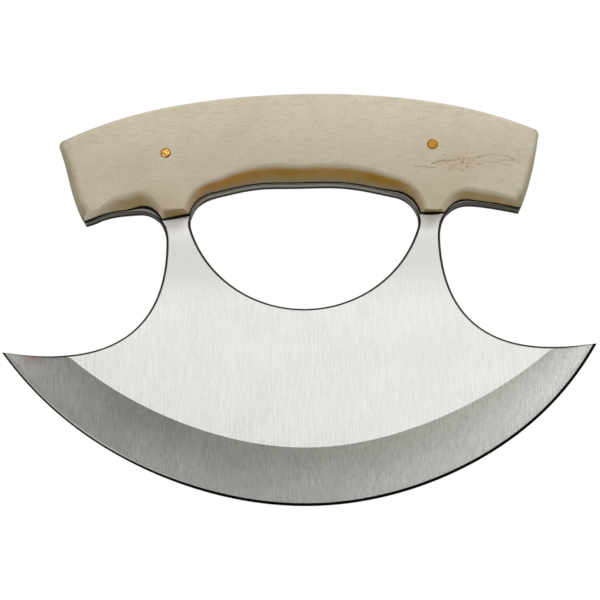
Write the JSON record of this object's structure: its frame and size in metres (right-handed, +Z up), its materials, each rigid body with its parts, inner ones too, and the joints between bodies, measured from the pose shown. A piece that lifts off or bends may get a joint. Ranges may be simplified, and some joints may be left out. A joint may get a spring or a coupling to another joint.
{
  "type": "ulu knife",
  "caption": "Ulu: a curved-edge steel knife with a finger hole under a bone handle, rocked or pushed to cut, skin and scrape.",
  "frame": {"origin": "middle of the bounding box, at the height of the lowest point of the cutting edge", "axes": "+X along the blade from tip to tip, +Y through the plate from the front face to the back, +Z up from the cutting edge to the handle"},
  "size_m": [0.17, 0.0164, 0.1217],
  "materials": {
    "steel": "fine satin brushing across the blade, ground bevel darker",
    "bone": "polished bone with fine grain, pores and brown staining at the finger edges",
    "brass": "worn, lightly hammered",
    "epoxy": "dark glue line"
  },
  "bodies": {
    "root": {"blade": "steel", "front_scale": "bone", "rear_scale": "bone", "left_pin": "brass", "right_pin": "brass", "front_glue": "epoxy", "rear_glue": "epoxy"}
  },
  "joints": []
}
